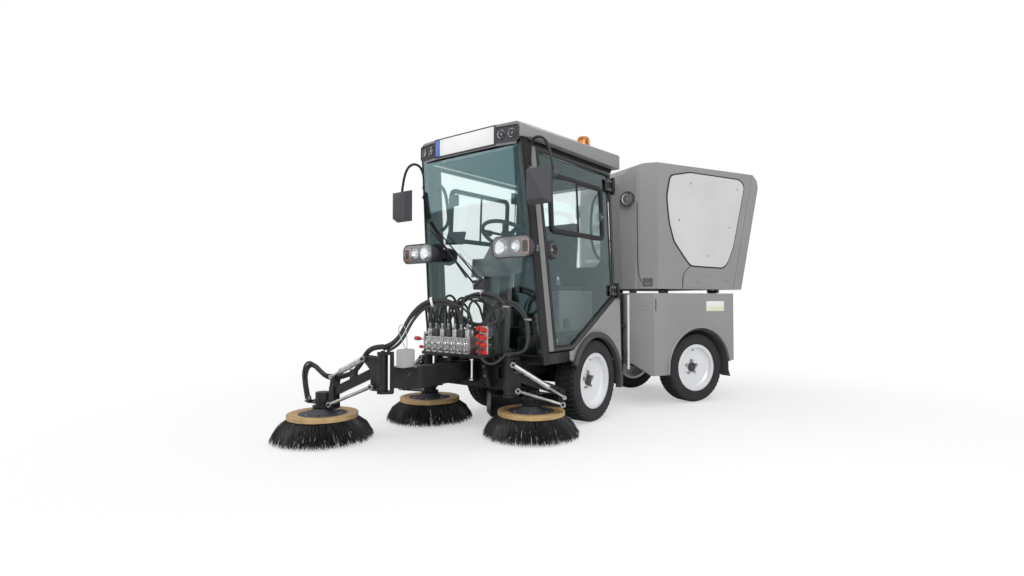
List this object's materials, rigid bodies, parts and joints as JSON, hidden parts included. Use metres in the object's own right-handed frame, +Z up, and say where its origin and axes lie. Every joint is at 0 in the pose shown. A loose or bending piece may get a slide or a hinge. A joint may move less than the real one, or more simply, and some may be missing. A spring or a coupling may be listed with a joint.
{
  "type": "articulated street sweeper",
  "caption": "Compact articulated street sweeper with a glazed cab, tipping hopper behind and three round brushes on swinging arms in front.",
  "frame": {"origin": "on the floor under the middle of the machine's box, as it stands in the picture", "axes": "-Y is the way the cab faces, +X is the machine's left, +Z is up; the hopper module behind is steered 25.5 degrees clockwise seen from above"},
  "size_m": [1.9938, 4.086, 2.0703],
  "materials": {
    "body_grey": "satin",
    "black_frame": "satin",
    "black_plastic": "matte",
    "glass": "clear",
    "lamp": "gloss",
    "amber": "gloss",
    "red": "gloss",
    "silver": "satin",
    "rim_silver": "satin",
    "tyre": "matte",
    "steel": "satin",
    "rubber": "matte",
    "brush": "matte",
    "fabric": "matte",
    "iron": "matte"
  },
  "bodies": {
    "cab": {"front_chassis": "black_frame", "front_axle": "black_frame", "suction_mouth": "black_frame", "suction_duct": "black_frame", "suction_duct_sides": "black_frame", "lift_frame": "black_frame", "manifold": "black_frame", "cab_frame": "black_frame", "cab_glass": "glass", "roof": "body_grey", "lamps": "lamp", "beacon": "amber", "side_panels": "body_grey", "front_flares": "black_plastic", "dashboard": "black_plastic", "steering_wheel": "black_plastic", "seat": "fabric", "mirrors": "black_plastic", "front_hoses": "rubber"},
    "door_left": {"door_left": "body_grey", "door_left_glass": "glass"},
    "door_right": {"door_right": "body_grey", "door_right_glass": "glass"},
    "front_left_wheel": {"front_left_tyre": "tyre", "front_left_rim": "rim_silver"},
    "front_right_wheel": {"front_right_tyre": "tyre", "front_right_rim": "rim_silver"},
    "rear_left_wheel": {"rear_left_tyre": "tyre", "rear_left_rim": "rim_silver"},
    "rear_right_wheel": {"rear_right_tyre": "tyre", "rear_right_rim": "rim_silver"},
    "rear_module": {"rear_frame": "black_frame", "rear_axle": "black_frame", "rear_body": "body_grey", "engine": "iron", "suction_pipe": "rubber", "rear_lamps": "red"},
    "hopper": {"hopper": "body_grey", "hopper_panels": "silver"},
    "hopper_door": {"hopper_door": "body_grey"},
    "boom": {"boom": "black_frame"},
    "left_bracket": {"left_bracket": "steel"},
    "left_arm": {"left_arm": "black_frame"},
    "left_link": {"left_link": "silver"},
    "left_cylinder": {"left_cylinder": "steel"},
    "left_head": {"left_head": "black_frame"},
    "left_brush": {"left_brush": "brush"},
    "right_bracket": {"right_bracket": "steel"},
    "right_arm": {"right_arm": "black_frame"},
    "right_link": {"right_link": "silver"},
    "right_cylinder": {"right_cylinder": "steel"},
    "right_head": {"right_head": "black_frame"},
    "right_brush": {"right_brush": "brush"},
    "third_bracket": {"third_bracket": "steel"},
    "third_arm": {"third_arm": "black_frame"},
    "third_link": {"third_link": "silver"},
    "third_cylinder": {"third_cylinder": "steel"},
    "third_head": {"third_head": "black_frame"},
    "third_brush": {"third_brush": "brush"}
  },
  "joints": [
    {"name": "steer", "type": "hinge", "parent": "cab", "child": "rear_module", "pos_m": [-0.118, 0.503, 0.29], "axis": [0, 0, 1], "range_deg": [-12.5, 63.5]},
    {"name": "door_left_hinge", "type": "hinge", "parent": "cab", "child": "door_left", "pos_m": [0.36493, 0.083, 1.33], "axis": [-0.0436, 0, 0.999], "range_deg": [0, 80]},
    {"name": "door_right_hinge", "type": "hinge", "parent": "cab", "child": "door_right", "pos_m": [-0.60093, 0.083, 1.33], "axis": [0.0436, 0, 0.999], "range_deg": [-80, 0]},
    {"name": "front_left_spin", "type": "hinge", "parent": "cab", "child": "front_left_wheel", "pos_m": [0.3, -0.247, 0.29], "axis": [1, 0, 0], "continuous": true},
    {"name": "front_right_spin", "type": "hinge", "parent": "cab", "child": "front_right_wheel", "pos_m": [-0.536, -0.247, 0.29], "axis": [1, 0, 0], "continuous": true},
    {"name": "rear_left_spin", "type": "hinge", "parent": "rear_module", "child": "rear_left_wheel", "pos_m": [0.58216, 0.99999, 0.29], "axis": [0.9026, -0.4305, 0], "continuous": true},
    {"name": "rear_right_spin", "type": "hinge", "parent": "rear_module", "child": "rear_right_wheel", "pos_m": [-0.1724, 1.35989, 0.29], "axis": [0.9026, -0.4305, 0], "continuous": true},
    {"name": "hopper_tip", "type": "hinge", "parent": "rear_module", "child": "hopper", "pos_m": [0.36073, 1.50667, 0.936], "axis": [-0.9026, 0.4305, 0], "range_deg": [0, 50]},
    {"name": "hopper_door_hinge", "type": "hinge", "parent": "hopper", "child": "hopper_door", "pos_m": [0.47701, 1.75047, 1.991], "axis": [0.9026, -0.4305, 0], "range_deg": [0, 80]},
    {"name": "boom_swing", "type": "hinge", "parent": "cab", "child": "boom", "pos_m": [-0.118, -1.007, 0.411], "axis": [0, 0, 1], "range_deg": [-15, 40]},
    {"name": "left_swing", "type": "hinge", "parent": "cab", "child": "left_bracket", "pos_m": [0.237, -1.052, 0.385], "axis": [0, 0, 1], "range_deg": [-40, 0]},
    {"name": "left_lift", "type": "hinge", "parent": "left_bracket", "child": "left_arm", "pos_m": [0.2726, -1.01409, 0.385], "axis": [0.729, -0.6845, 0], "range_deg": [0, 15]},
    {"name": "left_link_pin", "type": "hinge", "parent": "left_bracket", "child": "left_link", "pos_m": [0.30321, -1.04285, 0.309], "axis": [0.729, -0.6845, 0], "range_deg": [0, 15]},
    {"name": "left_cylinder_pin", "type": "hinge", "parent": "left_bracket", "child": "left_cylinder", "pos_m": [0.28268, -1.06471, 0.467], "axis": [0.729, -0.6845, 0], "range_deg": [0, 12]},
    {"name": "left_head_pin", "type": "hinge", "parent": "left_arm", "child": "left_head", "pos_m": [0.4629, -0.81144, 0.295], "axis": [0.729, -0.6845, 0], "range_deg": [-15, 0]},
    {"name": "left_brush_spin", "type": "hinge", "parent": "left_head", "child": "left_brush", "pos_m": [0.26921, -0.86139, 0.165], "axis": [0, 0, 1], "continuous": true},
    {"name": "right_swing", "type": "hinge", "parent": "cab", "child": "right_bracket", "pos_m": [-0.473, -1.052, 0.385], "axis": [0, 0, 1], "range_deg": [-34, 6]},
    {"name": "right_lift", "type": "hinge", "parent": "right_bracket", "child": "right_arm", "pos_m": [-0.52373, -1.04057, 0.385], "axis": [0.2198, 0.9755, 0], "range_deg": [0, 15]},
    {"name": "right_link_pin", "type": "hinge", "parent": "right_bracket", "child": "right_link", "pos_m": [-0.53296, -1.08154, 0.309], "axis": [0.2198, 0.9755, 0], "range_deg": [0, 15]},
    {"name": "right_cylinder_pin", "type": "hinge", "parent": "right_bracket", "child": "right_cylinder", "pos_m": [-0.5037, -1.08814, 0.467], "axis": [0.2198, 0.9755, 0], "range_deg": [0, 12]},
    {"name": "right_head_pin", "type": "hinge", "parent": "right_arm", "child": "right_head", "pos_m": [-0.79493, -0.97945, 0.295], "axis": [0.2198, 0.9755, 0], "range_deg": [-15, 0]},
    {"name": "right_brush_spin", "type": "hinge", "parent": "right_head", "child": "right_brush", "pos_m": [-0.60654, -0.91222, 0.165], "axis": [0, 0, 1], "continuous": true},
    {"name": "third_swing", "type": "hinge", "parent": "boom", "child": "third_bracket", "pos_m": [-0.228, -1.639, 0.432], "axis": [0, 0, 1], "range_deg": [0, 100]},
    {"name": "third_lift", "type": "hinge", "parent": "third_bracket", "child": "third_arm", "pos_m": [-0.27894, -1.64946, 0.432], "axis": [-0.2011, 0.9796, 0], "range_deg": [0, 25]},
    {"name": "third_link_pin", "type": "hinge", "parent": "third_bracket", "child": "third_link", "pos_m": [-0.27049, -1.6906, 0.356], "axis": [-0.2011, 0.9796, 0], "range_deg": [0, 25]},
    {"name": "third_cylinder_pin", "type": "hinge", "parent": "third_bracket", "child": "third_cylinder", "pos_m": [-0.32927, -1.70266, 0.516], "axis": [-0.2011, 0.9796, 0], "range_deg": [0, 32]},
    {"name": "third_head_pin", "type": "hinge", "parent": "third_arm", "child": "third_head", "pos_m": [-0.59534, -1.7144, 0.304], "axis": [-0.2011, 0.9796, 0], "range_deg": [-25, 0]},
    {"name": "third_brush_spin", "type": "hinge", "parent": "third_head", "child": "third_brush", "pos_m": [-0.68742, -1.73331, 0.165], "axis": [0, 0, 1], "continuous": true}
  ],
  "couplings": [
    {"joint": "left_link_pin", "follows": "left_lift", "ratio": 1},
    {"joint": "left_cylinder_pin", "follows": "left_lift", "ratio": 0.762},
    {"joint": "left_head_pin", "follows": "left_lift", "ratio": -1},
    {"joint": "right_link_pin", "follows": "right_lift", "ratio": 1},
    {"joint": "right_cylinder_pin", "follows": "right_lift", "ratio": 0.762},
    {"joint": "right_head_pin", "follows": "right_lift", "ratio": -1},
    {"joint": "third_link_pin", "follows": "third_lift", "ratio": 1},
    {"joint": "third_cylinder_pin", "follows": "third_lift", "ratio": 1.27},
    {"joint": "third_head_pin", "follows": "third_lift", "ratio": -1}
  ]
}
